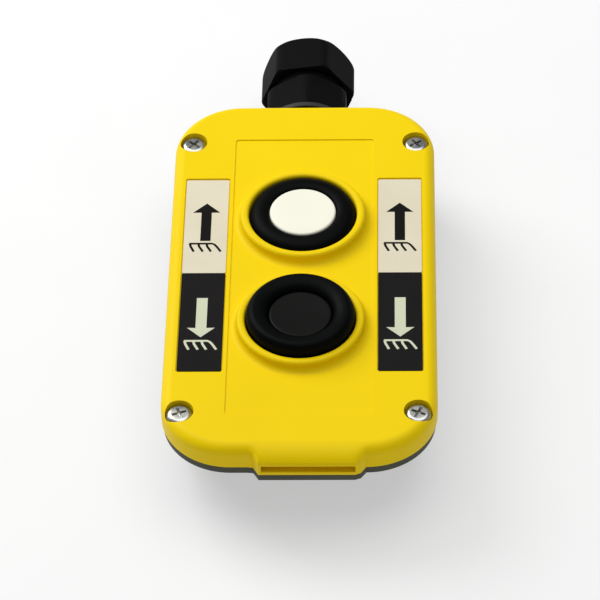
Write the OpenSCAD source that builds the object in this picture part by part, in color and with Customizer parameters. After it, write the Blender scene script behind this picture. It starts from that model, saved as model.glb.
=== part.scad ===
// Two-button pendant control station.
// +Z is out of the button face, +Y towards the cable gland.
// The origin is on the flat back face, under the middle of the case.

/* [Case] */
// Width of the case across the buttons
case_w = 72; // [66:1:80]
// Length of the case without the gland
case_l = 132; // [126:1:140]
// Height of the button face above the back
face_z = 30; // [30:1:36]
// Plan radius of the case corners
corner_r = 18.5; // [14:0.5:20]
// Depth of the yellow cover below the button face
cover_d = 7.2; // [7:0.1:10]
// Radius of the rounded edge around the button face
edge_r = 3; // [2:0.5:4]
// Thickness of the side walls
wall = 3; // [2.8:0.1:3.4]
// Height of the upright rim of the housing below the cover
rim_h = 2.3; // [2:0.1:4]
// How far the housing leans in below its rim at the free end
chin_run = 22; // [12:1:26]

/* [Buttons] */
// Distance between the two buttons
button_pitch = 40; // [38:1:44]
// Bore of the raised collars
collar_bore = 29.4; // [28:0.2:30]
// Outside diameter of the raised collars
collar_d = 34; // [33.4:0.2:35]
// Height of the collars above the button face
collar_h = 2.8; // [2.6:0.1:4]
// Travel of a button
travel = 3.5; // [2:0.1:3.5]
// Height of the up cap above the button face
up_cap_h = 3.2; // [3.2:0.1:4.2]
// Height of the down cap above the button face
down_cap_h = 4; // [3.6:0.1:5]

/* [Gland] */
// Height of the cable axis above the back
gland_z = 15; // [14.5:0.1:15.5]
// Diameter of the largest cable that passes
cable_d = 10; // [6:0.5:10]
// Across flats of the dome nut
nut_af = 24; // [22:0.5:25]
// Across flats of the gland body
body_af = 22.5; // [22:0.5:24]

/* [Hidden] */
$fn = 64;

// Heights
split_z = face_z - cover_d;
plate_t = 2.6;
under_z = face_z - plate_t;
floor_t = 2.6;
boot_flange_t = 2.2;
guide_top_z = under_z - boot_flange_t;

// Layout of the button face
face_y = -1.3;
up_y = face_y + button_pitch / 2;
down_y = face_y - button_pitch / 2;
screw_x = 30.9;
screw_dy = 51.3;
label_x = 26.35;
label_w = 11.7;
label_y = face_y - 0.4;
label_l = 36.4;
label_t = 0.3;
label_recess = 0.5;
label_margin = 0.6;
panel_w = 38.4;
panel_l = 104.6;
panel_depth = 0.3;
collar_foot = 1.7;
collar_edge = 1;

// Housing
side_lean = 5;
boss_h = 6.2;

// End pads
pad_foot = 29;
pad_tip = 26;
pad_out = 2.7;
pad_ramp = 2;
gland_pad_out = 1.4;
pad_x = 2.6;
slot_w = 24.2;
slot_h = 2.2;
slot_z = split_z + 1.2;
slot_depth = 3.2;
tongue_w = 27.2;
gasket_w = 0.8;
gasket_inset = 0.9;
gasket_depth = 1.2;
gap_u = 0.8;
tongue_z = under_z - gap_u;

// Fasteners
counterbore_r = 3.75;
counterbore_z = face_z - 3.6;
screw_r = 1.75;
head_r = 3.5;
seal_t = 0.6;
insert_r = 2.4;
insert_l = 5;
guide_ear_x = 19.75;
block_ear_x = 19.5;
post_z = 8.6;
small_screw_r = 1.45;
ear_r = 3.2;

// Push-button parts
head_disc_r = 12;
stem_r = 5;
stem_clear = 0.05;
push_r = 3.5;
head_disc_t = 1.5;
pocket_floor_z = 19;
guide_flange_t = 2;
guide_flange_r = 17.4;
pocket_in_r = 7.2;
pocket_out_r = 10.8;
boot_r = 14.4;
boot_in_r = 12.6;
boot_flange_r = 16.6;
up_cap_r = 9;
down_cap_r = 8.4;
cap_t = 1.6;
cap_shank_r = 4;
web_t = 1.2;
spring_r = 9;
wire_r = 0.5;

// Contact block
block_x = 16;
block_y = 7.5;
block_top_z = 13.4;
guide_bottom_z = block_top_z + travel + 0.6;
cavity_x = 10;
cavity_y = 4.5;
cavity_z = 3.6;
lid_t = 1;
bridge_top_z = 10.2;
contact_x = 6.5;
tab_z = 9.6;
contact_tip_z = bridge_top_z - 1.8;
strip_t = 0.6;
term_x = 12.8;

// Gland, along +Y from the pad face
wall_y = case_l / 2;
pad_y = wall_y + gland_pad_out;
washer_t = 1.5;
body_y = pad_y + washer_t;
body_l = 8;
body_hex_l = 13;
nut_y = 84.8;
nut_l = 13.5;
dome_r = 10;
dome_l = 4.8;
thread_r = 9.9;
entry_r = 10.2;
nut_twist = 8;

function arc(cx, cy, rx, ry, a0, a1, n) =
    [for (i = [0:n]) let (a = a0 + (a1 - a0) * i / n) [cx + rx * cos(a), cy + ry * sin(a)]];

// ---------- shared shapes ----------

// A rectangle with round corners, centred
module round_rect(w, l, r) {
    square([w - 2 * r, l], center = true);
    square([w, l - 2 * r], center = true);
    for (sx = [-1, 1], sy = [-1, 1])
        translate([sx * (w / 2 - r), sy * (l / 2 - r)]) circle(r = r);
}

// A ring that follows the case wall, inset from the outside
module wall_ring(inset, width, h) {
    linear_extrude(h) difference() {
        round_rect(case_w - 2 * inset, case_l - 2 * inset, corner_r - inset);
        round_rect(case_w - 2 * (inset + width), case_l - 2 * (inset + width),
                   corner_r - inset - width);
    }
}

// Places a child at the four cover screws
module at_cover_screws() {
    for (sx = [-1, 1], sy = [-1, 1])
        translate([sx * screw_x, face_y + sy * screw_dy, 0]) children();
}

// Turns a shape modelled along +Z to lie along +Y on the gland axis
module along_gland(y) {
    translate([0, y, gland_z]) rotate([-90, 0, 0]) children();
}

// A prism over the trapezium of the end pad, pointing along -Y, with a slope on top
module end_pad(z0, z1, ramp) {
    sink = 0.7;
    hull() {
        translate([0, 0, z0]) linear_extrude(z1 - z0)
            polygon([[-pad_foot / 2, 2], [-pad_foot / 2, 0], [-pad_tip / 2, -pad_out],
                     [pad_tip / 2, -pad_out], [pad_foot / 2, 0], [pad_foot / 2, 2]]);
        translate([-pad_foot / 2, sink, z1]) cube([pad_foot, 2 - sink, max(ramp, 0.01)]);
    }
}

// ---------- case ----------

module cover_outside() {
    hull() for (sx = [-1, 1], sy = [-1, 1])
        translate([sx * (case_w / 2 - corner_r), sy * (case_l / 2 - corner_r), 0])
            rotate_extrude($fn = 48) polygon(concat(
                [[0, split_z], [corner_r, split_z]],
                arc(corner_r - edge_r, face_z - edge_r, edge_r, edge_r, 0, 90, 5),
                [[0, face_z]]));
}

// A ring with a rounded rim that runs out into the face
module collar_outside() {
    top_z = face_z + collar_h;
    side_r = collar_d / 2;
    foot_r = side_r + collar_foot;
    rotate_extrude() polygon(concat(
        [[0, under_z], [foot_r, under_z]],
        arc(foot_r, face_z - panel_depth + collar_foot, collar_foot, collar_foot, 270, 180, 5),
        arc(side_r - collar_edge, top_z - collar_edge, collar_edge, collar_edge, 0, 90, 5),
        [[0, top_z]]));
}

module front_cover() {
    color("gold") difference() {
        union() {
            difference() {
                union() {
                    cover_outside();
                    translate([pad_x, -wall_y, 0])
                        end_pad(split_z, face_z - edge_r - 0.2, pad_ramp);
                }
                translate([0, 0, split_z - 1]) linear_extrude(cover_d - plate_t + 1)
                    round_rect(case_w - 2 * wall, case_l - 2 * wall, corner_r - wall);
                translate([0, face_y, face_z - panel_depth]) linear_extrude(1)
                    square([panel_w, panel_l], center = true);
            }
            for (y = [up_y, down_y]) {
                translate([0, y, 0]) collar_outside();
                for (sx = [-1, 1])
                    translate([sx * guide_ear_x, y, guide_top_z])
                        cylinder(r = 3, h = under_z - guide_top_z + 0.5);
            }
            intersection() {
                at_cover_screws() translate([0, 0, split_z]) cylinder(r = 5, h = cover_d - 0.6);
                cover_outside();
            }
        }
        for (y = [up_y, down_y]) {
            translate([0, y, under_z - 1]) cylinder(d = collar_bore, h = 20);
            translate([0, y, face_z + collar_h - 0.8])
                cylinder(d1 = collar_bore, d2 = collar_bore + 1.6, h = 0.81);
            for (sx = [-1, 1])
                translate([sx * guide_ear_x, y, guide_top_z - 1])
                    cylinder(r = small_screw_r + 0.05, h = 4.2);
        }
        at_cover_screws() {
            translate([0, 0, split_z - 1]) cylinder(r = 2.2, h = 12);
            translate([0, 0, counterbore_z]) cylinder(r = counterbore_r, h = 8);
        }
        for (sx = [-1, 1])
            translate([sx * label_x, label_y, face_z - label_recess]) linear_extrude(1)
                square([label_w + label_margin, 2 * label_l + 2 * label_margin], center = true);
        // notch for the raised gland panel of the housing
        translate([-tongue_w / 2 - gap_u, wall_y - wall - 1, split_z - 1])
            cube([tongue_w + 2 * gap_u, wall + 3, under_z - split_z + 1]);
        // slot across the end pad
        translate([pad_x - slot_w / 2, -wall_y - pad_out - 1, slot_z])
            cube([slot_w, slot_depth + 1, slot_h]);
    }
}

module housing_body(inset, z0, z1) {
    back_w = case_w - side_lean;
    back_l = case_l - chin_run;
    back_y = chin_run / 2;
    r = corner_r - inset;
    hull() {
        translate([0, 0, split_z - rim_h]) linear_extrude(z1 - split_z + rim_h)
            round_rect(case_w - 2 * inset, case_l - 2 * inset, r, $fn = 48);
        translate([0, back_y, z0]) linear_extrude(0.4)
            round_rect(back_w - 2 * inset, back_l - 2 * inset, r - 3, $fn = 48);
    }
}

module back_housing() {
    skin = 0.4;
    color("dimgray") difference() {
        union() {
            difference() {
                union() {
                    housing_body(skin, 0, split_z);
                    translate([pad_x, -wall_y + skin, 0])
                        end_pad(split_z - rim_h, split_z - 0.01, 0);
                }
                housing_body(wall, floor_t, split_z + 1);
            }
            // screw bosses
            at_cover_screws() translate([0, 0, split_z - boss_h]) cylinder(r = 4, h = boss_h);
            // gland panel, standing above the joint line
            translate([-tongue_w / 2, wall_y - wall, floor_t + 1])
                cube([tongue_w, wall + gland_pad_out, tongue_z - floor_t - 1]);
            // posts for the contact blocks
            for (y = [up_y, down_y], sx = [-1, 1])
                translate([sx * block_ear_x, y, 1]) cylinder(r = ear_r, h = post_z - 1);
        }
        at_cover_screws() translate([0, 0, split_z - insert_l - 0.6])
            cylinder(r = insert_r + 0.05, h = insert_l + 1);
        for (y = [up_y, down_y], sx = [-1, 1])
            translate([sx * block_ear_x, y, 3.6])
                cylinder(r = small_screw_r + 0.05, h = 6);
        along_gland(wall_y - wall - 2) cylinder(r = entry_r, h = wall + gland_pad_out + 4);
        translate([0, 0, split_z - gasket_depth])
            difference() {
                wall_ring(gasket_inset, gasket_w, gasket_depth + 1);
                translate([-tongue_w / 2, wall_y - 10, -1]) cube([tongue_w, 20, 6]);
            }
    }
}

module cover_gasket() {
    y0 = wall_y - gasket_inset - gasket_w;
    color("black") {
        difference() {
            translate([0, 0, split_z - gasket_depth])
                wall_ring(gasket_inset, gasket_w, gasket_depth);
            translate([-tongue_w / 2, wall_y - 10, 0]) cube([tongue_w, 20, face_z]);
        }
        for (x = [-tongue_w / 2 - gap_u, tongue_w / 2])
            translate([x, y0, split_z - 0.01]) cube([gap_u, gasket_w, under_z - split_z + 0.01]);
        translate([-tongue_w / 2 - 0.01, y0, tongue_z]) cube([tongue_w + 0.02, gasket_w, gap_u]);
    }
}

module cover_screws() {
    head_z = counterbore_z + seal_t;
    color("silver") at_cover_screws() difference() {
        union() {
            translate([0, 0, split_z - 4.4]) cylinder(r = screw_r, h = head_z - split_z + 4.5);
            translate([0, 0, head_z]) rotate_extrude() polygon(concat(
                [[0, 0], [head_r, 0]], arc(head_r - 1.3, 1, 1.3, 1.3, 0, 90, 4), [[0, 2.3]]));
        }
        for (a = [35, 125])
            translate([0, 0, head_z + 1.7]) rotate([0, 0, a]) cube([3.8, 0.8, 1.4], center = true);
    }
}

module screw_seals() {
    color("black") at_cover_screws() translate([0, 0, counterbore_z]) difference() {
        cylinder(r = head_r, h = seal_t);
        translate([0, 0, -1]) cylinder(r = screw_r + 0.05, h = seal_t + 2);
    }
}

module screw_inserts() {
    color("goldenrod") at_cover_screws() translate([0, 0, split_z - insert_l]) difference() {
        union() {
            cylinder(r = insert_r - 0.2, h = insert_l);
            for (z = [0, insert_l - 2])
                translate([0, 0, z]) cylinder(r = insert_r, h = 2);
        }
        translate([0, 0, -1]) cylinder(r = screw_r + 0.05, h = insert_l + 2);
    }
}

module label(side, end) {
    translate([side * label_x - label_w / 2, label_y + (end > 0 ? 0.02 : -label_l - 0.02),
               face_z - label_recess])
        cube([label_w, label_l, label_t]);
}

// ---------- push buttons ----------

module cap(y, h, cap_r) {
    top = face_z + h;
    translate([0, y, top - cap_t]) rotate_extrude() polygon(concat(
        [[0, -2.6], [cap_shank_r, -2.6], [cap_shank_r, 0], [cap_r, 0]],
        arc(cap_r - 0.4, cap_t - 0.4, 0.4, 0.4, 0, 90, 3), [[0, cap_t]]));
}

// Rubber boot: clamped flange, folding wall, raised ring around the cap
module boot(y, h, cap_r, crest_r, crest_h, shoulder_h) {
    top = face_z + h;
    seat = top - cap_t;
    translate([0, y, 0]) rotate_extrude() polygon(concat(
        [[boot_in_r, guide_top_z], [boot_flange_r, guide_top_z], [boot_flange_r, under_z],
         [boot_r, under_z]],
        arc(crest_r, face_z + shoulder_h, boot_r - crest_r, crest_h - shoulder_h, 0, 90, 6),
        [[crest_r - 1, face_z + crest_h - 0.3], [cap_r + 0.8, top - 0.4],
         [cap_r + 0.15, top - 0.4], [cap_r + 0.15, seat], [cap_shank_r + 0.15, seat],
         [cap_shank_r + 0.15, seat - web_t], [boot_in_r, seat - web_t]]));
}

module plunger(y, h) {
    head_top = face_z + h - cap_t - web_t;
    head_bottom = head_top - head_disc_t;
    translate([0, y, 0]) difference() {
        union() {
            translate([0, 0, head_bottom]) cylinder(r = head_disc_r, h = head_disc_t);
            translate([0, 0, guide_bottom_z])
                cylinder(r = stem_r, h = head_bottom - guide_bottom_z + 1);
            translate([0, 0, bridge_top_z]) cylinder(r = push_r, h = 10);
        }
        translate([0, 0, head_top - 1.6]) cylinder(r = cap_shank_r + 0.05, h = 3);
    }
}

function spring_z(t, z0, z1, turns) =
    let (flat = 0.9 / turns, u = min(1, max(0, (t - flat) / (1 - 2 * flat))))
    z0 + 2 * wire_r * min(t, flat) / flat * 0.9 + u * (z1 - z0 - 3.6 * wire_r)
    + 2 * wire_r * max(0, t - 1 + flat) / flat * 0.9;

module spring(y, top) {
    turns = 5;
    steps = 22;
    sides = 8;
    n = round(turns * steps);
    z0 = pocket_floor_z + wire_r;
    z1 = top - wire_r;
    pts = [for (i = [0:n]) let (t = i / n, a = 360 * turns * t, z = spring_z(t, z0, z1, turns))
        for (k = [0:sides - 1]) let (b = 360 * k / sides, r = spring_r + wire_r * cos(b))
            [r * cos(a), r * sin(a), z + wire_r * sin(b)]];
    walls = [for (i = [0:n - 1], k = [0:sides - 1]) let (j = (k + 1) % sides)
        [i * sides + k, (i + 1) * sides + k, (i + 1) * sides + j, i * sides + j]];
    ends = [[for (k = [0:sides - 1]) k],
            [for (k = [0:sides - 1]) n * sides + sides - 1 - k]];
    translate([0, y, 0]) polyhedron(points = pts, faces = concat(walls, ends));
}

// Guide sleeve with a spring pocket, screwed under the cover by two ears
module guide(y) {
    ear_z = guide_top_z - guide_flange_t;
    translate([0, y, 0]) difference() {
        union() {
            translate([0, 0, guide_bottom_z]) cylinder(r = 12, h = guide_top_z - guide_bottom_z);
            translate([0, 0, ear_z]) cylinder(r = guide_flange_r, h = guide_flange_t);
            for (sx = [-1, 1]) {
                translate([sx * guide_ear_x, 0, ear_z]) cylinder(r = ear_r, h = guide_flange_t);
                translate([sx * guide_ear_x - (sx + 1) * 3, -ear_r, ear_z])
                    cube([6, 2 * ear_r, guide_flange_t]);
            }
        }
        translate([0, 0, guide_bottom_z - 1]) cylinder(r = stem_r + stem_clear, h = 20);
        translate([0, 0, pocket_floor_z]) difference() {
            cylinder(r = pocket_out_r, h = 10);
            translate([0, 0, -1]) cylinder(r = pocket_in_r, h = 12);
        }
        for (sx = [-1, 1])
            translate([sx * guide_ear_x, 0, ear_z - 1])
                cylinder(r = small_screw_r + 0.15, h = 4);
    }
}

module guide_screws() {
    head_z = guide_top_z - guide_flange_t;
    color("silver") for (y = [up_y, down_y], sx = [-1, 1])
        translate([sx * guide_ear_x, y, 0]) difference() {
            union() {
                translate([0, 0, head_z - 1.8]) cylinder(r = 2.6, h = 1.8);
                translate([0, 0, head_z - 1]) cylinder(r = small_screw_r, h = 5.8);
            }
            for (a = [0, 90])
                translate([0, 0, head_z - 1.8]) rotate([0, 0, a])
                    cube([2.8, 0.6, 1.6], center = true);
        }
}

// ---------- contact blocks ----------

module contact_block(y) {
    translate([0, y, 0]) difference() {
        union() {
            translate([-block_x, -block_y, floor_t])
                cube([2 * block_x, 2 * block_y, block_top_z - floor_t]);
            for (sx = [-1, 1]) {
                translate([sx * block_ear_x, 0, post_z]) cylinder(r = ear_r, h = 2);
                translate([sx * block_ear_x - (sx + 1) * 2, -ear_r, post_z]) cube([4, 2 * ear_r, 2]);
            }
        }
        translate([-cavity_x, -cavity_y, cavity_z])
            cube([2 * cavity_x, 2 * cavity_y, block_top_z]);
        translate([-cavity_x, -block_y - 1, block_top_z - lid_t])
            cube([2 * cavity_x, 2 * block_y + 2, lid_t + 1]);
        for (sx = [-1, 1]) {
            translate([sx * (cavity_x + 3.1) - 3.2, -4, tab_z]) cube([6.4, 8, 6]);
            translate([sx * term_x, 0, 6]) cylinder(r = 1.6, h = 5);
            translate([sx * block_ear_x, 0, 8]) cylinder(r = small_screw_r + 0.15, h = 4);
        }
    }
}

module block_lid(y) {
    translate([0, y, block_top_z - lid_t]) difference() {
        translate([-cavity_x + 0.1, -block_y, 0])
            cube([2 * cavity_x - 0.2, 2 * block_y, lid_t]);
        translate([0, 0, -1]) cylinder(r = push_r + 0.6, h = lid_t + 2);
    }
}

module contact_bridge(y) {
    translate([0, y, bridge_top_z]) {
        translate([-8, -2, -1]) cube([16, 4, 1]);
        for (sx = [-1, 1])
            translate([sx * contact_x, 0, contact_tip_z - bridge_top_z]) cylinder(r = 1.3, h = 1);
    }
}

module fixed_contacts(y) {
    for (sx = [-1, 1])
        translate([0, y, 0]) scale([sx, 1, 1]) difference() {
            union() {
                translate([4.5, -2, cavity_z]) cube([cavity_x - 4.5, 4, strip_t]);
                translate([cavity_x - strip_t, -2, cavity_z])
                    cube([strip_t, 4, tab_z + strip_t - cavity_z]);
                translate([cavity_x - strip_t, -2.6, tab_z]) cube([5.8, 5.2, strip_t]);
                translate([contact_x, 0, cavity_z])
                    cylinder(r = 1.4, h = contact_tip_z - travel - 0.2 - cavity_z);
            }
            translate([term_x, 0, tab_z - 1]) cylinder(r = 1.7, h = 3);
        }
}

module terminal_screws(y) {
    clamp_z = tab_z + strip_t;
    for (sx = [-1, 1])
        translate([sx * term_x, y, 0]) difference() {
            union() {
                translate([-2.6, -2.8, clamp_z]) cube([5.2, 5.6, 0.8]);
                translate([0, 0, 6.4]) cylinder(r = 1.55, h = clamp_z - 6);
                translate([0, 0, clamp_z + 0.8]) cylinder(r = 2.5, h = 1.8);
            }
            translate([0, 0, clamp_z + 2.4]) cube([6, 0.8, 1.6], center = true);
        }
}

module block_screws() {
    color("silver") for (y = [up_y, down_y], sx = [-1, 1])
        translate([sx * block_ear_x, y, 0]) difference() {
            union() {
                translate([0, 0, 4.2]) cylinder(r = small_screw_r, h = 7);
                translate([0, 0, post_z + 2]) cylinder(r = 2.6, h = 1.8);
            }
            for (a = [0, 90])
                translate([0, 0, post_z + 3.8]) rotate([0, 0, a])
                    cube([2.8, 0.6, 1.6], center = true);
        }
}

// ---------- cable gland ----------

module gland_washer() {
    color("black") along_gland(pad_y) difference() {
        cylinder(r = 13, h = washer_t);
        translate([0, 0, -1]) cylinder(r = thread_r + 0.1, h = washer_t + 2);
    }
}

module gland_body() {
    inner_l = washer_t + gland_pad_out + wall + 7;
    neck_l = 18;
    finger_l = 6;
    color("black") along_gland(body_y) difference() {
        union() {
            rotate([0, 0, 30]) intersection() {
                cylinder(r = body_af / 2 / cos(30), h = body_hex_l, $fn = 6);
                rotate_extrude() polygon([[0, 0], [12.9, 0], [12.9, body_hex_l - 0.9],
                                          [11.8, body_hex_l], [0, body_hex_l]]);
            }
            translate([0, 0, -inner_l]) cylinder(r = thread_r, h = inner_l + 1);
            translate([0, 0, body_l - 1]) cylinder(r = 10.4, h = neck_l - finger_l + 1);
            translate([0, 0, body_l + neck_l - finger_l - 0.5]) cylinder(r = 9.4, h = finger_l + 0.5);
        }
        translate([0, 0, -inner_l - 1]) cylinder(r = 7, h = 40);
        translate([0, 0, body_l]) cylinder(r = 8.2, h = 30);
        for (a = [0:30:150])
            translate([0, 0, body_l + neck_l - finger_l / 2 + 1]) rotate([0, 0, a])
                cube([30, 1.2, finger_l], center = true);
    }
}

module gland_locknut() {
    t = 5;
    color("black") along_gland(wall_y - wall - t) difference() {
        intersection() {
            cylinder(r = 12 / cos(30), h = t, $fn = 6);
            rotate_extrude() polygon([[0, 0], [12.6, 0], [13.7, 0.8], [13.7, t], [0, t]]);
        }
        translate([0, 0, -1]) cylinder(r = thread_r + 0.05, h = t + 2);
    }
}

module gland_insert() {
    color("dimgray") along_gland(body_y + body_l + 0.2) difference() {
        cylinder(r = 8.15, h = 17.5);
        translate([0, 0, -1]) cylinder(d = cable_d, h = 20);
    }
}

module gland_nut() {
    corner = nut_af / 2 / cos(30);
    bore_l = 10.6;
    hole_r = 6.3;
    color("black") along_gland(nut_y) difference() {
        rotate([0, 0, -nut_twist]) intersection() {
            cylinder(r = corner, h = nut_l + 1, $fn = 6);
            rotate_extrude() polygon(concat(
                [[0, 0], [corner - 0.9, 0], [corner, 0.7]],
                arc(dome_r, nut_l - dome_l * sin(80), corner - dome_r, dome_l, 0, 80, 8),
                [[0, nut_l]]));
        }
        translate([0, 0, -1]) cylinder(r = 10.7, h = bore_l + 1);
        translate([0, 0, bore_l - 0.01]) cylinder(r1 = 10.2, r2 = hole_r, h = 2.4);
        translate([0, 0, bore_l]) cylinder(r = hole_r, h = 10);
    }
}

// ---------- named nodes ----------

up_head_z = face_z + up_cap_h - cap_t - web_t - head_disc_t;
down_head_z = face_z + down_cap_h - cap_t - web_t - head_disc_t;

module up_label_left() { color("beige") label(-1, 1); }
module up_label_right() { color("beige") label(1, 1); }
module down_label_left() { color("black") label(-1, -1); }
module down_label_right() { color("black") label(1, -1); }
module up_cap() { color("white") cap(up_y, up_cap_h, up_cap_r); }
module up_boot() { color("black") boot(up_y, up_cap_h, up_cap_r, 11.2, up_cap_h + 0.3, 1.1); }
module up_plunger() { color("dimgray") plunger(up_y, up_cap_h); }
module up_spring() { color("silver") spring(up_y, up_head_z); }
module up_guide() { color("dimgray") guide(up_y); }
module up_contact_block() { color("firebrick") contact_block(up_y); }
module up_block_lid() { color("gainsboro") block_lid(up_y); }
module up_contact_bridge() { color("goldenrod") contact_bridge(up_y); }
module up_fixed_contacts() { color("goldenrod") fixed_contacts(up_y); }
module up_terminal_screws() { color("silver") terminal_screws(up_y); }
module down_cap() { color("black") cap(down_y, down_cap_h, down_cap_r); }
module down_boot() {
    color("black") boot(down_y, down_cap_h, down_cap_r, 12.3, down_cap_h + 2, 3.4);
}
module down_plunger() { color("dimgray") plunger(down_y, down_cap_h); }
module down_spring() { color("silver") spring(down_y, down_head_z); }
module down_guide() { color("dimgray") guide(down_y); }
module down_contact_block() { color("firebrick") contact_block(down_y); }
module down_block_lid() { color("gainsboro") block_lid(down_y); }
module down_contact_bridge() { color("goldenrod") contact_bridge(down_y); }
module down_fixed_contacts() { color("goldenrod") fixed_contacts(down_y); }
module down_terminal_screws() { color("silver") terminal_screws(down_y); }

front_cover();
back_housing();
cover_gasket();
cover_screws();
screw_seals();
screw_inserts();
up_label_left();
up_label_right();
down_label_left();
down_label_right();
up_cap();
up_boot();
up_plunger();
up_spring();
up_guide();
up_contact_block();
up_block_lid();
up_contact_bridge();
up_fixed_contacts();
up_terminal_screws();
down_cap();
down_boot();
down_plunger();
down_spring();
down_guide();
down_contact_block();
down_block_lid();
down_contact_bridge();
down_fixed_contacts();
down_terminal_screws();
guide_screws();
block_screws();
gland_washer();
gland_body();
gland_locknut();
gland_insert();
gland_nut();
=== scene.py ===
from math import cos, pi, radians, sin, sqrt

import bmesh
import bpy
from mathutils import Matrix, Vector


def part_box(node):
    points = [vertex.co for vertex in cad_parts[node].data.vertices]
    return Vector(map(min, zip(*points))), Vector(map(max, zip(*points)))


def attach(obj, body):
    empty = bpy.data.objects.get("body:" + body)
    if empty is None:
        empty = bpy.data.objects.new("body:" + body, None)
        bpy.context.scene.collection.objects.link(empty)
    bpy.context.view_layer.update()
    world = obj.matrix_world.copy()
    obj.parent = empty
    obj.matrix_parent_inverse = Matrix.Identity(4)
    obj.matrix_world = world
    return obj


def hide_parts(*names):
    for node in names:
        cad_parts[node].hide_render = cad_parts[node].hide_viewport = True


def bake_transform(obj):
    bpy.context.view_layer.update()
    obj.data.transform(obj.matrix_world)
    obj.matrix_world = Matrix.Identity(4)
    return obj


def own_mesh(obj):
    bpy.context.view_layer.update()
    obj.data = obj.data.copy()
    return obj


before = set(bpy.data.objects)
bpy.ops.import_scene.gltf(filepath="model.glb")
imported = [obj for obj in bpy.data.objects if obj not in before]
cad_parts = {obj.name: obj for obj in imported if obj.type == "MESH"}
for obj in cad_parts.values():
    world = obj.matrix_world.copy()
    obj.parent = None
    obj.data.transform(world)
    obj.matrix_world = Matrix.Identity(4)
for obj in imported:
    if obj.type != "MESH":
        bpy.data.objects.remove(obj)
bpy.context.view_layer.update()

MM = 0.001

# ---------------------------------------------------------------- places from the frame (mm)


def low(node):
    """The low corner of a node's box."""
    return [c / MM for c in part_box(node)[0]]


def high(node):
    """The high corner of a node's box."""
    return [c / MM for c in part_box(node)[1]]


def middle(node, axis):
    """Where a node's box is centred on one axis."""
    return (low(node)[axis] + high(node)[axis]) / 2


def half(node, axis):
    """Half the size of a node's box on one axis."""
    return (high(node)[axis] - low(node)[axis]) / 2


HEAD_R = 3.5                            # cover screws
RIM_Z = high("front_cover")[2]          # top of the raised collars
LABEL_SINK = 0.2                        # labels lie this far below the button face
FACE_Z = high("up_label_left")[2] + LABEL_SINK
HALF_W = high("front_cover")[0]
HALF_L = high("front_cover")[1]
SPLIT_Z = low("front_cover")[2]         # joint between cover and housing
UNDER_Z = high("cover_gasket")[2]       # underside of the face plate
UP_Y = middle("up_cap", 1)
DOWN_Y = middle("down_cap", 1)
FACE_Y = (UP_Y + DOWN_Y) / 2
SCREW_X = half("screw_seals", 0) - HEAD_R
SCREW_DY = half("screw_seals", 1) - HEAD_R
SEAT_Z = low("screw_seals")[2]          # floor of the screw counterbores
GLAND_Z = middle("gland_nut", 2)        # height of the cable axis
CORNERS = ((-1, -1), (-1, 1), (1, -1), (1, 1))

CORNER_R = 18.5                         # case, in plan
EDGE_R = 3.0                            # edge round the button face
WALL = 3.0
PANEL_HALF_W, PANEL_HALF_L = 19.2, 52.3
PANEL_DEPTH = 0.3
LABEL_RECESS = 0.5
PAD_OUT = 2.7                           # end pad at the free end
PAD_X = 2.6
PAD_HALF_FOOT, PAD_HALF_TIP = 14.5, 13.0
SLOT_W, SLOT_H, SLOT_DEPTH = 24.2, 2.2, 3.2
SLOT_Z = SPLIT_Z + 1.2
GLAND_PAD = 1.4                         # gland panel at the cable end
TONGUE_HALF_W = 13.6
TONGUE_GAP = 0.8
RIM_H = 2.3                             # upright rim of the housing
FLOOR_T = 2.6
BACK_W = 2 * HALF_W - 5.0               # flat back of the housing
BACK_L = 2 * HALF_L - 22.0
BACK_Y = 11.0
CAP_T = 1.6
SHANK_R = 4.0
WEB_T = 1.2                             # rubber under the cap

# ---------------------------------------------------------------- materials


def srgb(r, g, b):
    """A colour given as 0..255 display values, in the linear values that shaders use."""
    return tuple(c / 12.92 if c <= 0.04045 else ((c + 0.055) / 1.055) ** 2.4
                 for c in (v / 255 for v in (r, g, b))) + (1.0,)


def surface(name, light, dark, rough=(0.35, 0.5), blotch=30.0, grain=1500.0, bump=0.1,
            metallic=0.0, specular=0.5):
    """A procedural surface: two tones over soft blotches and fine grain, with bump and uneven gloss."""
    grain_mix, bump_mm = 0.25, 0.02
    mat = bpy.data.materials.new(name)
    mat.use_nodes = True
    nodes, links = mat.node_tree.nodes, mat.node_tree.links
    shader = nodes["Principled BSDF"]
    shader.inputs["Metallic"].default_value = metallic
    shader.inputs["Specular IOR Level"].default_value = specular
    place = nodes.new("ShaderNodeTexCoord")
    coarse = noise(nodes, links, place, blotch, 3.0)
    fine = noise(nodes, links, place, grain, 2.0)
    mixed = nodes.new("ShaderNodeMix")
    mixed.data_type = "FLOAT"
    mixed.inputs["Factor"].default_value = grain_mix
    links.new(coarse.outputs["Fac"], mixed.inputs["A"])
    links.new(fine.outputs["Fac"], mixed.inputs["B"])
    ramp = nodes.new("ShaderNodeValToRGB")
    ramp.color_ramp.elements[0].position = 0.35
    ramp.color_ramp.elements[0].color = dark
    ramp.color_ramp.elements[1].position = 0.65
    ramp.color_ramp.elements[1].color = light
    links.new(mixed.outputs["Result"], ramp.inputs["Fac"])
    links.new(ramp.outputs["Color"], shader.inputs["Base Color"])
    gloss = nodes.new("ShaderNodeMapRange")
    gloss.inputs["From Min"].default_value = 0.3
    gloss.inputs["From Max"].default_value = 0.7
    gloss.inputs["To Min"].default_value = rough[0]
    gloss.inputs["To Max"].default_value = rough[1]
    links.new(mixed.outputs["Result"], gloss.inputs["Value"])
    links.new(gloss.outputs["Result"], shader.inputs["Roughness"])
    relief = nodes.new("ShaderNodeBump")
    relief.inputs["Strength"].default_value = bump
    relief.inputs["Distance"].default_value = bump_mm * MM
    links.new(fine.outputs["Fac"], relief.inputs["Height"])
    links.new(relief.outputs["Normal"], shader.inputs["Normal"])
    return mat


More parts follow.
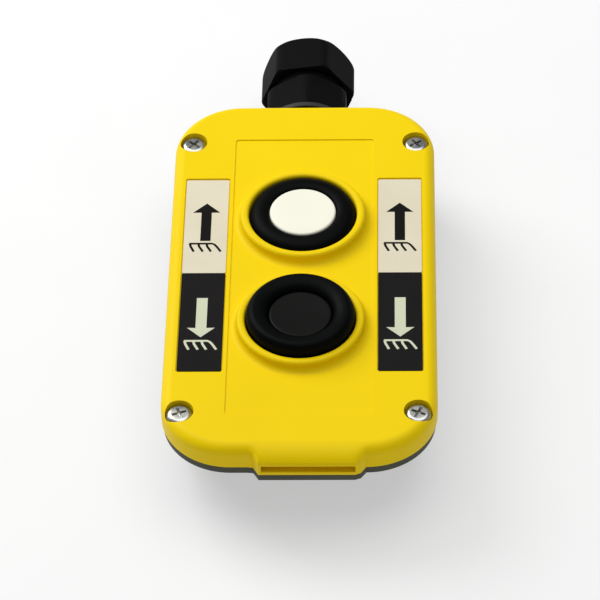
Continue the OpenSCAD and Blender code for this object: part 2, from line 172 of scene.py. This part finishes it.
def noise(nodes, links, place, scale, detail):
    """A noise texture fixed to the object."""
    tex = nodes.new("ShaderNodeTexNoise")
    tex.inputs["Scale"].default_value = scale
    tex.inputs["Detail"].default_value = detail
    links.new(place.outputs["Object"], tex.inputs["Vector"])
    return tex


YELLOW = surface("cover_yellow", srgb(238, 207, 0), srgb(234, 201, 0), rough=(0.4, 0.5),
                 blotch=18, grain=2600, bump=0.08, specular=0.1)
HOUSING = surface("housing_grey", srgb(76, 78, 66), srgb(66, 68, 57), rough=(0.5, 0.64),
                  blotch=40, grain=2200, bump=0.2, specular=0.2)
RUBBER = surface("boot_rubber", srgb(4, 5, 5), srgb(2, 3, 3), rough=(0.42, 0.54),
                 blotch=90, grain=3000, bump=0.1, specular=0.045)
SEAL = surface("seal_rubber", srgb(34, 34, 34), srgb(24, 24, 24), rough=(0.6, 0.75), bump=0.2)
CAP_WHITE = surface("cap_white", srgb(241, 239, 223), srgb(237, 235, 218), rough=(0.3, 0.4),
                    blotch=60, grain=2500, bump=0.03, specular=0.2)
CAP_BLACK = surface("cap_black", srgb(14, 15, 13), srgb(11, 12, 10), rough=(0.36, 0.46),
                    blotch=80, grain=2500, bump=0.05, specular=0.08)
CREAM = surface("label_cream", srgb(219, 212, 188), srgb(214, 206, 182), rough=(0.5, 0.6),
                blotch=70, grain=2800, bump=0.04, specular=0.12)
BLACK_FILM = surface("label_black", srgb(22, 20, 21), srgb(18, 16, 17), rough=(0.5, 0.6),
                     blotch=70, grain=2800, bump=0.05, specular=0.08)
INK_DARK = surface("ink_dark", srgb(16, 15, 10), srgb(12, 11, 7), rough=(0.5, 0.6), bump=0.04,
                   specular=0.08)
INK_CREAM = surface("ink_cream", srgb(206, 210, 184), srgb(198, 202, 176), rough=(0.5, 0.6),
                    bump=0.04, specular=0.12)
ZINC = surface("zinc_steel", srgb(206, 205, 192), srgb(168, 170, 176), rough=(0.2, 0.36),
               blotch=260, grain=1800, bump=0.08, metallic=1.0)
STEEL = surface("spring_steel", srgb(190, 190, 192), srgb(160, 160, 163), rough=(0.25, 0.4),
                blotch=200, bump=0.05, metallic=1.0)
BRASS = surface("contact_brass", srgb(212, 172, 92), srgb(184, 144, 70), rough=(0.25, 0.4),
                blotch=150, bump=0.05, metallic=1.0)
NYLON = surface("gland_nylon", srgb(14, 14, 15), srgb(10, 10, 11), rough=(0.56, 0.68),
                blotch=60, grain=2200, bump=0.15, specular=0.04)
MOVING = surface("moving_plastic", srgb(60, 60, 60), srgb(48, 48, 48), bump=0.15)
BLOCK = surface("block_plastic", srgb(150, 34, 28), srgb(130, 26, 22), bump=0.15)
LID = surface("lid_plastic", srgb(224, 222, 212), srgb(210, 208, 198), bump=0.1)

# ---------------------------------------------------------------- mesh helpers


def build(name, verts, faces, mat, sharp=32):
    """A mesh object from points in mm, with outward normals and edges sharper than `sharp` kept."""
    mesh = bpy.data.meshes.new(name)
    mesh.from_pydata([Vector(v) * MM for v in verts], [], faces)
    return finish_mesh(name, mesh, mat, sharp)


def finish_mesh(name, mesh, mat, sharp):
    """Merges points that coincide, turns faces outwards and puts the mesh in the scene."""
    bm = bmesh.new()
    bm.from_mesh(mesh)
    bmesh.ops.remove_doubles(bm, verts=bm.verts, dist=0.0005 * MM)
    bmesh.ops.recalc_face_normals(bm, faces=bm.faces)
    bm.to_mesh(mesh)
    bm.free()
    mesh.shade_smooth()
    mesh.set_sharp_from_angle(angle=radians(sharp))
    mesh.materials.clear()
    mesh.materials.append(mat)
    obj = bpy.data.objects.new(name, mesh)
    bpy.context.scene.collection.objects.link(obj)
    return obj


def strip(rows, closed_rows=False):
    """Faces between rows of points; each row is a closed loop of the same length."""
    n = len(rows[0])
    verts = [p for row in rows for p in row]
    last = len(rows) if closed_rows else len(rows) - 1
    faces = [(i * n + k, i * n + (k + 1) % n,
              (i + 1) % len(rows) * n + (k + 1) % n, (i + 1) % len(rows) * n + k)
             for i in range(last) for k in range(n)]
    return verts, faces


def arc(cx, cy, rx, ry, a0, a1, n):
    """Points on part of an ellipse, from angle a0 to a1 in n steps."""
    return [(cx + rx * cos(radians(a0 + (a1 - a0) * i / n)),
             cy + ry * sin(radians(a0 + (a1 - a0) * i / n))) for i in range(n + 1)]


def lathe(name, profile, mat, x=0.0, y=0.0, steps=160, sharp=32):
    """A closed (radius, height) outline turned round a vertical axis at x, y."""
    rows = [[(x + r * cos(2 * pi * k / steps), y + r * sin(2 * pi * k / steps), z)
             for k in range(steps)] for r, z in profile]
    verts, faces = strip(rows, closed_rows=True)
    return build(name, verts, faces, mat, sharp)


def outline(w, l, r, y=0.0, corner=20, side=24, pad=0.0):
    """A round-cornered rectangle as points, anticlockwise, with an outward bulge `pad` at -Y."""
    pts = []
    for quarter, (sx, sy) in enumerate(((1, 1), (-1, 1), (-1, -1), (1, -1))):
        cx, cy = sx * (w / 2 - r), sy * (l / 2 - r)
        pts += arc(cx, cy, r, r, 90 * quarter, 90 * quarter + 90, corner)
        nx, ny = ((-1, 1), (-1, -1), (1, -1), (1, 1))[quarter]
        ex, ey = nx * (w / 2 - r), ny * (l / 2 - r)
        start = pts[-1]
        end = (ex + (0 if quarter % 2 == 0 else nx * r), ey + (ny * r if quarter % 2 == 0 else 0))
        pts += [(start[0] + (end[0] - start[0]) * i / side,
                 start[1] + (end[1] - start[1]) * i / side) for i in range(1, side)]
    return [(px, py + y - (pad * bulge(px - PAD_X) if py < 0 else 0.0)) for px, py in pts]


def bulge(x):
    """1 across the end pad, easing to 0 at its foot; x is measured from the middle of the pad."""
    t = min(1.0, max(0.0, (PAD_HALF_FOOT - abs(x)) / (PAD_HALF_FOOT - PAD_HALF_TIP)))
    return t * t * (3 - 2 * t)


def cutter(name, verts, faces):
    """A solid that is cut away from a piece or added to it, and doesn't stay in the scene."""
    return build(name, verts, faces, YELLOW)


def box_cutter(name, lo, hi, r=0.0, corner=6):
    """A block with corners rounded in plan."""
    w, l = hi[0] - lo[0], hi[1] - lo[1]
    cx, cy = (hi[0] + lo[0]) / 2, (hi[1] + lo[1]) / 2
    ring = [(px + cx, py + cy) for px, py in outline(w, l, max(r, 0.01), corner=corner, side=2)]
    n = len(ring)
    verts = [(px, py, lo[2]) for px, py in ring] + [(px, py, hi[2]) for px, py in ring]
    faces = [(k, (k + 1) % n, n + (k + 1) % n, n + k) for k in range(n)]
    faces += [tuple(range(n))[::-1], tuple(range(n, 2 * n))]
    return cutter(name, verts, faces)


def round_cutter(name, x, y, z0, z1, r, steps=96):
    """An upright cylinder."""
    return lathe(name, [(0, z0), (r, z0), (r, z1), (0, z1)], YELLOW, x, y, steps)


def combine(target, others, operation="DIFFERENCE"):
    """Booleans the others into the target and removes them."""
    for other in others:
        mod = target.modifiers.new("bool", "BOOLEAN")
        mod.operation = operation
        mod.object = other
        mod.solver = "EXACT"
    settle(target)
    for other in others:
        bpy.data.objects.remove(other)


def settle(obj):
    """Applies every modifier on the object."""
    graph = bpy.context.evaluated_depsgraph_get()
    mesh = bpy.data.meshes.new_from_object(obj.evaluated_get(graph))
    obj.modifiers.clear()
    obj.data = mesh


def soften(obj, width=0.15, segments=2, angle=40):
    """Rounds the hard edges a little and applies it."""
    mod = obj.modifiers.new("soft_edges", "BEVEL")
    mod.width = width * MM
    mod.segments = segments
    mod.limit_method = "ANGLE"
    mod.angle_limit = radians(angle)
    mod.use_clamp_overlap = True
    mod.miter_outer = "MITER_ARC"
    settle(obj)
    obj.data.shade_smooth()
    obj.data.set_sharp_from_angle(angle=radians(50))


def even_out(obj):
    """Lets the large faces set the shading, so flats stay flat beside rounded edges."""
    mod = obj.modifiers.new("even_shading", "WEIGHTED_NORMAL")
    mod.keep_sharp = True
    settle(obj)


def end_faces(rows):
    """The two faces that close a strip at its first and last row."""
    n = len(rows[0])
    return [tuple(range(n)), tuple(range((len(rows) - 1) * n, len(rows) * n))]


def extrude(name, pts, z0, z1, mat, sharp=32):
    """A flat outline in plan, given thickness."""
    n = len(pts)
    verts = [(px, py, z0) for px, py in pts] + [(px, py, z1) for px, py in pts]
    faces = [(k, (k + 1) % n, n + (k + 1) % n, n + k) for k in range(n)]
    faces += [tuple(range(n))[::-1], tuple(range(n, 2 * n))]
    return build(name, verts, faces, mat, sharp)


def along_y(obj, y, z):
    """Lays a piece made round Z along +Y, at height z."""
    obj.data.transform(Matrix.Translation((0, y * MM, z * MM)) @ Matrix.Rotation(-pi / 2, 4, "X"))


def join(name, objs):
    """One object from several, keeping each one's faces and materials."""
    bm = bmesh.new()
    mats = []
    for obj in objs:
        first = len(bm.faces)
        bm.from_mesh(obj.data)
        bm.faces.ensure_lookup_table()
        if obj.data.materials[0] not in mats:
            mats.append(obj.data.materials[0])
        for face in bm.faces[first:]:
            face.material_index = mats.index(obj.data.materials[0])
    mesh = bpy.data.meshes.new(name)
    bm.to_mesh(mesh)
    bm.free()
    for mat in mats:
        mesh.materials.append(mat)
    for obj in objs:
        bpy.data.objects.remove(obj)
    joined = bpy.data.objects.new(name, mesh)
    bpy.context.scene.collection.objects.link(joined)
    return joined


# ---------------------------------------------------------------- cover


def cover():
    """Yellow cover: shell, screw bosses, pockets, holes and the two collars."""
    shell = cover_shell()
    bosses = [round_cutter("boss", sx * (SCREW_X - 0.6), FACE_Y + sy * (SCREW_DY - 0.2),
                           SPLIT_Z, UNDER_Z + 0.5, 4.6, 64) for sx, sy in CORNERS]
    combine(shell, bosses, "UNION")
    combine(shell, cover_cuts())
    soften(shell, 0.18)
    piece = join("cover_shell", [shell] + [collar(y) for y in (UP_Y, DOWN_Y)])
    even_out(piece)
    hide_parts("front_cover")
    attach(piece, "case")


def cover_shell():
    """The hollow shell: its edge round the button face is rounded, and the end pad fades into it."""
    lead = 0.25
    edge_steps, fade_steps = 12, 10

    def ring(inset, z, pad=0.0):
        """The outline of the case at height z, set in from its wall."""
        return [(px, py, z) for px, py in
                outline(2 * (HALF_W - inset), 2 * (HALF_L - inset), CORNER_R - inset, pad=pad)]

    rows = [ring(WALL, UNDER_Z), ring(WALL, SPLIT_Z), ring(lead, SPLIT_Z, PAD_OUT),
            ring(0.0, SPLIT_Z + lead, PAD_OUT), ring(0.0, FACE_Z - EDGE_R, PAD_OUT)]
    for i in range(1, edge_steps + 1):
        a = radians(90 * i / edge_steps)
        pad = PAD_OUT * max(0.0, 1 - i / fade_steps)
        rows.append(ring(EDGE_R * (1 - cos(a)), FACE_Z - EDGE_R + EDGE_R * sin(a), pad))
    verts, faces = strip(rows)
    return build("cover_shell", verts, faces + end_faces(rows), YELLOW)


def cover_cuts():
    """Label pockets, panel, screw holes, button holes, gland notch and the slot in the end pad."""
    above = FACE_Z + 2
    below = SPLIT_Z - 1
    cuts = []
    for side in ("left", "right"):
        lo, hi = low("down_label_" + side), high("up_label_" + side)
        cuts.append(box_cutter("label_pocket", (lo[0] - 0.3, lo[1] - 0.5, FACE_Z - LABEL_RECESS),
                               (hi[0] + 0.3, hi[1] + 0.5, above), 0.7))
    cuts.append(box_cutter("panel", (-PANEL_HALF_W, FACE_Y - PANEL_HALF_L, FACE_Z - PANEL_DEPTH),
                           (PANEL_HALF_W, FACE_Y + PANEL_HALF_L, above), 0.8))
    hole_r, counterbore_r = 2.2, 3.75
    for sx, sy in CORNERS:
        steps = [(0, below), (hole_r, below), (hole_r, SEAT_Z), (counterbore_r, SEAT_Z),
                 (counterbore_r, above), (0, above)]
        cuts.append(lathe("screw_hole", steps, YELLOW, sx * SCREW_X, FACE_Y + sy * SCREW_DY, 96))
    for y in (UP_Y, DOWN_Y):
        cuts.append(round_cutter("button_hole", 0, y, below, above, 15.4, 128))
    notch = TONGUE_HALF_W + TONGUE_GAP
    cuts.append(box_cutter("gland_notch", (-notch, HALF_L - WALL - 1, below),
                           (notch, HALF_L + 2, UNDER_Z)))
    pad_y = -HALF_L - PAD_OUT
    cuts.append(box_cutter("pad_slot", (PAD_X - SLOT_W / 2, pad_y - 1, SLOT_Z),
                           (PAD_X + SLOT_W / 2, pad_y + SLOT_DEPTH, SLOT_Z + SLOT_H), 0.3))
    return cuts


def collar(y):
    """The raised ring round a button, flaring into the face plate."""
    panel_z = FACE_Z - PANEL_DEPTH
    bore_r, side_r = 14.7, 17.0
    inner, outer = 0.9, 1.0             # rounding of the rim's two edges
    foot = 1.7
    foot_r = side_r + foot
    profile = [(bore_r, UNDER_Z), (bore_r, RIM_Z - inner)]
    profile += arc(bore_r + inner, RIM_Z - inner, inner, inner, 180, 90, 10)[1:]
    profile += arc(side_r - outer, RIM_Z - outer, outer, outer, 90, 0, 14)
    profile += arc(foot_r, panel_z + foot - 0.01, foot, foot, 180, 270, 16)
    profile += [(foot_r, panel_z - 0.5), (foot_r - 0.4, UNDER_Z)]
    return lathe("collar", profile, YELLOW, 0, y, 192, sharp=40)


# ---------------------------------------------------------------- housing


def housing():
    """The grey back shell: upright rim, sides and free end leaning in, gland panel."""
    skin, lead = 0.4, 0.25              # set back from the cover, and softened top edge
    edge, edge_steps = 1.8, 8           # rounding round the flat back
    z_low = low("back_housing")[2]
    rim_z = SPLIT_Z - RIM_H

    def ring(t, inset, z, pad=0.0):
        """t is 0 at the rim and 1 at the back."""
        w = (2 * HALF_W) * (1 - t) + BACK_W * t - 2 * inset
        l = (2 * HALF_L) * (1 - t) + BACK_L * t - 2 * inset
        return [(px, py, z) for px, py in
                outline(w, l, CORNER_R - inset - 3 * t, y=BACK_Y * t, pad=pad)]

    def side(z):
        """How far down the leaning side z is."""
        return max(0.0, (rim_z - z) / (rim_z - z_low))

    rows = [ring(side(FLOOR_T), WALL, FLOOR_T), ring(0, WALL, SPLIT_Z),
            ring(0, skin + lead, SPLIT_Z, PAD_OUT), ring(0, skin, SPLIT_Z - lead, PAD_OUT),
            ring(0, skin, rim_z + 0.4, PAD_OUT)]
    for z, share in ((rim_z, 0.95), (rim_z - 0.9, 0.5), (rim_z - 2.2, 0.0)):
        rows.append(ring(side(z), skin, z, PAD_OUT * share))
    for i in range(edge_steps + 1):
        a = radians(90 * i / edge_steps)
        z = z_low + edge * (1 - sin(a))
        rows.append(ring(side(z), skin + edge * (1 - cos(a)), z))
    verts, faces = strip(rows)
    shell = build("housing_shell", verts, faces + end_faces(rows), HOUSING)
    tongue = box_cutter("tongue", (-TONGUE_HALF_W, HALF_L - WALL, FLOOR_T + 1),
                        (TONGUE_HALF_W, HALF_L + GLAND_PAD, UNDER_Z - TONGUE_GAP), 0.4)
    combine(shell, [tongue], "UNION")
    hole = round_cutter("entry", 0, 0, -8, 8, 10.2)
    along_y(hole, HALF_L, GLAND_Z)
    combine(shell, [hole])
    soften(shell, 0.25)
    even_out(shell)
    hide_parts("back_housing")
    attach(shell, "case")


# ---------------------------------------------------------------- buttons


def boot(kind, y, crest_r, shoulder_z):
    """Rubber boot: a clamped flange, a waisted wall and a raised ring round the cap."""
    top = high(kind + "_cap")[2]
    crest_z = high(kind + "_boot")[2]
    cap_r = high(kind + "_cap")[0]
    seat = top - CAP_T
    lip_r, lip_z = cap_r + 0.22, top - 0.55
    hole_r = SHANK_R + 0.15
    flange_z, flange_r = low(kind + "_boot")[2], 16.6
    wall_r, inner_r = 14.4, 12.6
    profile = [(inner_r, flange_z), (flange_r, flange_z), (flange_r, UNDER_Z),
               (wall_r + 0.1, UNDER_Z)]
    steps, waist = 10, 0.25
    for i in range(1, steps):
        z = UNDER_Z + (shoulder_z - UNDER_Z) * i / steps
        profile.append((wall_r - waist * (1 - cos(2 * pi * i / steps)) / 2, z))
    profile += arc(crest_r, shoulder_z, wall_r - crest_r, crest_z - shoulder_z, 0, 90, 18)
    profile += arc(crest_r, lip_z, crest_r - lip_r, crest_z - lip_z, 90, 180, 14)[1:]
    profile += [(lip_r, seat), (hole_r, seat), (hole_r, seat - WEB_T), (inner_r, seat - WEB_T)]
    piece = lathe(kind + "_rubber_boot", profile, RUBBER, 0, y, 160, sharp=50)
    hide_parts(kind + "_boot")
    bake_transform(piece)


def button_cap(kind, y, mat):
    """Disc on top of a button: a flat face with a softened rim and a faint dish."""
    top = high(kind + "_cap")[2]
    bottom = low(kind + "_cap")[2]
    r = high(kind + "_cap")[0]
    lead, edge = 0.3, 0.6
    profile = [(0, bottom), (SHANK_R - lead, bottom), (SHANK_R, bottom + lead),
               (SHANK_R, top - CAP_T), (r, top - CAP_T)]
    profile += arc(r - edge, top - edge, edge, edge, 0, 90, 8)
    profile += [(7.4, top - 0.01), (6.0, top - 0.06), (4.0, top - 0.11), (2.0, top - 0.14),
                (0, top - 0.15)]
    piece = lathe(kind + "_button_cap", profile, mat, 0, y, 160, sharp=50)
    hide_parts(kind + "_cap")
    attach(piece, kind + "_button")


def spring(kind, y):
    """Return spring in its pocket; its end turns lie flat."""
    z0 = low(kind + "_spring")[2]
    z1 = high(kind + "_spring")[2]
    coil_r, wire_r, turns, per_turn, sides = 9.0, 0.5, 5, 48, 14
    total = turns * per_turn
    flat = 0.9 / turns
    end_rise = 1.8 * wire_r
    climb = z1 - z0 - 2 * (wire_r + end_rise)
    rows = []
    for i in range(total + 1):
        t = i / total
        a = 2 * pi * turns * t
        rise = min(1.0, max(0.0, (t - flat) / (1 - 2 * flat)))
        z = (z0 + wire_r + end_rise * min(t, flat) / flat + rise * climb
             + end_rise * max(0.0, t - 1 + flat) / flat)
        rows.append([((coil_r + wire_r * cos(b)) * cos(a), y + (coil_r + wire_r * cos(b)) * sin(a),
                      z + wire_r * sin(b)) for b in (2 * pi * k / sides for k in range(sides))])
    verts, faces = strip(rows)
    piece = build(kind + "_return_spring", verts, faces + end_faces(rows), STEEL, 60)
    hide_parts(kind + "_spring")
    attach(piece, "case")
    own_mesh(piece)


# ---------------------------------------------------------------- labels


def arrow_up():
    """Arrow pointing up with a flat-based head; x across, y along the label (mm)."""
    return [(0, 26.7), (-3.7, 23.1), (-1.4, 23.1), (-1.4, 12.0), (1.4, 12.0), (1.4, 23.1),
            (3.7, 23.1)]


def arrow_down():
    """Arrow pointing down, placed like the other one."""
    return [(0, -24.5), (3.7, -21.0), (1.45, -21.1), (1.45, -9.9), (-1.45, -9.9), (-1.45, -21.1),
            (-3.7, -21.0)]


def hatch(top, bottom):
    """The platform sign: a bar whose right end curves down, with slanting strokes under it."""
    pen = 0.66
    drop = top - bottom
    mid = top - 0.35
    low_end = bottom + 0.25
    bar = stroke([(-4.3, mid), (1.9, mid), (2.6, mid - 0.12 * drop), (3.2, mid - 0.34 * drop),
                  (4.3, low_end)], pen)
    slants = [stroke([(x, mid), (x + 0.25, mid - 0.3 * drop), (foot, low_end)], pen)
              for x, foot in ((-4.15, -3.0), (-1.85, -0.55), (0.35, 1.65))]
    return [bar] + slants


def stroke(pts, width):
    """The outline of a pen stroke along the points."""
    sides = ([], [])
    for i, (px, py) in enumerate(pts):
        ax, ay = pts[max(i - 1, 0)]
        bx, by = pts[min(i + 1, len(pts) - 1)]
        length = sqrt((bx - ax) ** 2 + (by - ay) ** 2)
        nx, ny = -(by - ay) / length * width / 2, (bx - ax) / length * width / 2
        sides[0].append((px + nx, py + ny))
        sides[1].append((px - nx, py - ny))
    return sides[1] + sides[0][::-1]


def label(node, mat, ink, shapes):
    """Symbol plate with its print: the first shape is the arrow, the rest make up the sign."""
    ink_deep, ink_out = 0.1, 0.03
    lo, hi = low(node), high(node)
    plate = box_cutter(node + "_plate", lo, hi, 0.5)
    plate.data.materials.clear()
    plate.data.materials.append(mat)
    cx = (lo[0] + hi[0]) / 2
    printed = []
    for i, shape in enumerate(shapes):
        pts = [(cx + px, FACE_Y + py) for px, py in shape]
        printed.append(extrude("print", pts, hi[2] - ink_deep - 0.01 * i, hi[2] + ink_out, ink))
    combine(printed[1], printed[2:], "UNION")
    piece = join(node + "_plate", [plate] + printed[:2])
    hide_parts(node)
    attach(piece, "case")


# ---------------------------------------------------------------- screws


def screw(x, y, turn):
    """Pan head with a cross recess, and its shank."""
    z = high("screw_seals")[2]
    tip, top = low("cover_screws")[2], high("cover_screws")[2]
    shank_r = 1.75
    side, edge = 0.9, 1.4               # upright side of the head, and its rounding inwards
    profile = [(0, tip + 0.4), (shank_r - 0.25, tip), (shank_r, tip + 0.6), (shank_r, z),
               (HEAD_R, z), (HEAD_R, z + side)]
    profile += arc(HEAD_R - edge, z + side, edge, top - z - side, 0, 90, 10)[1:]
    profile += [(1.2, top), (0, top)]
    body = lathe("screw", profile, ZINC, x, y, 72, sharp=45)
    combine(body, [blade(x, y, top, a) for a in (turn, turn + 90)])
    return body


def blade(x, y, top, angle):
    """One slot of the cross recess, narrowing as it goes down."""
    ca, sa = cos(radians(angle)), sin(radians(angle))
    verts = []
    for half_l, half_w, z in ((2.15, 0.42, top + 0.3), (1.1, 0.3, top - 1.3)):
        for sx, sy in ((-1, -1), (1, -1), (1, 1), (-1, 1)):
            px, py = sx * half_l, sy * half_w
            verts.append((x + px * ca - py * sa, y + px * sa + py * ca, z))
    faces = [(0, 1, 2, 3), (7, 6, 5, 4), (0, 4, 5, 1), (1, 5, 6, 2), (2, 6, 7, 3), (3, 7, 4, 0)]
    return cutter("blade", verts, faces)


def screws():
    """The four cover screws, each stopped at its own angle."""
    turns = (20, 50, 65, 35)
    heads = [screw(sx * SCREW_X, FACE_Y + sy * SCREW_DY, turn)
             for turn, (sx, sy) in zip(turns, CORNERS)]
    piece = join("cover_screw_set", heads)
    piece.data.set_sharp_from_angle(angle=radians(40))
    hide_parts("cover_screws")
    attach(piece, "case")


# ---------------------------------------------------------------- gland


def corner_r(flats):
    """Radius over the corners of a hexagon."""
    return flats / 2 / cos(radians(30))


def hexagon(angle, flats, soft=0.35):
    """Distance from the middle to a hexagon's side, with slightly rounded corners."""
    a = (angle % 60) - 30
    flat = flats / 2 / cos(radians(a))
    corner = corner_r(flats) - soft
    return -smooth_max(-flat, -corner, 0.5) if flat > corner - 1.5 else flat


def smooth_max(a, b, k):
    """The larger of two values, blended where they are less than k apart."""
    h = max(0.0, k - abs(a - b)) / k
    return max(a, b) + h * h * k / 4


def hex_turned(name, outer, bore, flats, twist, mat, steps=360, sharp=30):
    """A hexagon trimmed by a turned outline: outer and bore are (radius, height) lists."""
    turns = [360 * k / steps for k in range(steps)]
    rows = []
    for r, z in outer:
        reach = [-smooth_max(-r, -hexagon(a - twist, flats), 0.35) for a in turns]
        rows.append([(d * cos(radians(a)), d * sin(radians(a)), z) for d, a in zip(reach, turns)])
    for r, z in bore:
        rows.append([(r * cos(radians(a)), r * sin(radians(a)), z) for a in turns])
    verts, faces = strip(rows, closed_rows=True)
    return build(name, verts, faces, mat, sharp)


def thread(z0, z1, r, depth):
    """Ridges of a round thread as a (radius, height) outline."""
    pitch, per_turn = 1.5, 8
    pts = []
    steps = int((z1 - z0) / pitch * per_turn)
    for i in range(steps + 1):
        z = z0 + (z1 - z0) * i / steps
        pts.append((r - depth * (0.5 - 0.5 * cos(2 * pi * (z - z0) / pitch)), z))
    return pts


def gland_nut():
    """Dome nut: a hexagon whose far end rounds in to the cable hole."""
    flats, twist = 24.0, -8.0
    nut_y = low("gland_nut")[1]
    length = high("gland_nut")[1] - nut_y
    corner = corner_r(flats)
    outer = [(12.0, 0.0), (corner - 1.0, 0.0), (corner - 0.3, 0.35), (corner, 0.8)]
    dome_r, dome_l = 10.0, 4.8
    dome_y = length - dome_l * sin(radians(80))
    outer += [(corner + 1, 2 + i) for i in range(int(dome_y) - 2)]
    outer += arc(dome_r, dome_y, corner - dome_r, dome_l - 0.05, 2, 78, 30)
    end_r = outer[-1][0]
    outer.append((end_r - 0.3, length - 0.02))
    hole_r, bore_r = 6.3, 10.7
    bore = [(hole_r, length - 0.25), (hole_r, 13.0), (10.2, 10.8), (bore_r, 10.4), (bore_r, 0.6),
            (bore_r + 0.6, 0.0)]
    nut = hex_turned("gland_dome_nut", outer, bore, flats, twist, NYLON)
    along_y(nut, nut_y, GLAND_Z)
    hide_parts("gland_nut")
    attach(nut, "case")


def gland_body():
    """Hexagonal body: entry thread through the wall, thread for the nut, and the gripping end."""
    body_y = high("gland_washer")[1]
    inner_l = body_y - low("gland_body")[1]
    hex_l, shoulder = 13.0, 8.0
    thread_end, end = shoulder + 12, shoulder + 18
    outer = [(7.0, -inner_l), (9.3, -inner_l)]
    outer += thread(-inner_l + 0.4, -0.6, 9.9, 0.55)
    outer += [(9.5, -0.02), (11.9, 0.0), (12.5, 0.4), (13.2, 1.0), (13.2, hex_l - 1.0),
              (12.2, hex_l - 0.35), (11.4, hex_l), (9.8, hex_l)]
    outer += thread(hex_l + 0.3, thread_end, 10.4, 0.6)
    outer += [(9.4, thread_end + 0.2), (9.3, end)]
    bore = [(8.2, end), (8.2, shoulder), (7.0, shoulder)]
    body = hex_turned("gland_hex_body", outer, bore, 22.5, 30.0, NYLON)
    along_y(body, body_y, GLAND_Z)
    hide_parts("gland_body")
    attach(body, "case")


# ---------------------------------------------------------------- CAD nodes that stay


def kept_nodes():
    """Materials for the parts that keep their CAD shape, nearly all inside the case."""
    kept = {"cover_gasket": SEAL, "screw_seals": SEAL, "screw_inserts": BRASS, "guide_screws": ZINC,
            "block_screws": ZINC, "gland_washer": SEAL, "gland_locknut": NYLON, "gland_insert": SEAL}
    for kind in ("up", "down"):
        kept.update({kind + "_plunger": MOVING, kind + "_guide": MOVING,
                     kind + "_contact_block": BLOCK, kind + "_block_lid": LID,
                     kind + "_contact_bridge": BRASS, kind + "_fixed_contacts": BRASS,
                     kind + "_terminal_screws": ZINC})
    for node, mat in kept.items():
        for material_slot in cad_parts[node].material_slots:
            material_slot.material = mat


# ---------------------------------------------------------------- all pieces

kept_nodes()
cover()
housing()
boot("up", UP_Y, 11.2, FACE_Z + 1.1)
boot("down", DOWN_Y, 12.3, FACE_Z + 3.4)
button_cap("up", UP_Y, CAP_WHITE)
button_cap("down", DOWN_Y, CAP_BLACK)
spring("up", UP_Y)
spring("down", DOWN_Y)
for side in ("left", "right"):
    label("up_label_" + side, CREAM, INK_DARK, [arrow_up()] + hatch(11.3, 7.6))
    label("down_label_" + side, BLACK_FILM, INK_CREAM, [arrow_down()] + hatch(-25.5, -29.3))
screws()
gland_nut()
gland_body()

# ---------------------------------------------------------------- floor, light and camera


def floor():
    """A pale light table: a white sheet that glows a little, so shadows stay soft."""
    size = 3.0
    z = low("back_housing")[2] * MM
    mesh = bpy.data.meshes.new("floor")
    mesh.from_pydata([(-size, -size, z), (size, -size, z), (size, size, z), (-size, size, z)], [],
                     [(0, 1, 2, 3)])
    obj = bpy.data.objects.new("floor", mesh)
    mat = surface("floor_white", srgb(178, 178, 178), srgb(176, 176, 176), rough=(0.8, 0.9),
                  bump=0.0, specular=0.1)
    shader = mat.node_tree.nodes["Principled BSDF"]
    shader.inputs["Emission Color"].default_value = (1, 1, 1, 1)
    shader.inputs["Emission Strength"].default_value = 0.48
    mesh.materials.append(mat)
    bpy.context.scene.collection.objects.link(obj)


def light(name, place, aim, size, power):
    """A round soft light, aimed at a point."""
    data = bpy.data.lights.new(name, "AREA")
    data.shape = "DISK"
    data.size = size
    data.energy = power
    obj = bpy.data.objects.new(name, data)
    place, aim = Vector(place), Vector(aim)
    obj.location = place
    obj.rotation_euler = (aim - place).to_track_quat("-Z", "Y").to_euler()
    bpy.context.scene.collection.objects.link(obj)


def camera():
    """Long lens from the free end, about 45 degrees above the face."""
    azimuth, elevation, roll = radians(2.22), radians(45.0), radians(1.79)
    distance, lens = 0.947, 213.5
    aim = Vector((-0.0003, -0.01225, FACE_Z * MM))
    back = Vector((cos(elevation) * sin(azimuth), -cos(elevation) * cos(azimuth), sin(elevation)))
    right = Vector((cos(azimuth), sin(azimuth), 0))
    up = back.cross(right)
    right, up = (cos(roll) * right - sin(roll) * up, sin(roll) * right + cos(roll) * up)
    data = bpy.data.cameras.new("camera")
    data.lens = lens
    data.sensor_width = 36
    data.clip_end = 20
    obj = bpy.data.objects.new("camera", data)
    place = aim + distance * back
    obj.matrix_world = Matrix(((right.x, up.x, back.x, place.x), (right.y, up.y, back.y, place.y),
                               (right.z, up.z, back.z, place.z), (0, 0, 0, 1)))
    bpy.context.scene.collection.objects.link(obj)
    bpy.context.scene.camera = obj


floor()
station = (0, 0, 0.02)
light("key", (-0.62, 0.5, 0.72), station, 0.75, 7.6)
light("top", (0.05, 0.15, 1.3), station, 1.5, 9.6)
camera()
world = bpy.data.worlds.new("studio")
world.use_nodes = True
world.node_tree.nodes["Background"].inputs["Color"].default_value = (1, 1, 1, 1)
world.node_tree.nodes["Background"].inputs["Strength"].default_value = 0.26
bpy.context.scene.world = world
bpy.context.scene.view_settings.view_transform = "Standard"
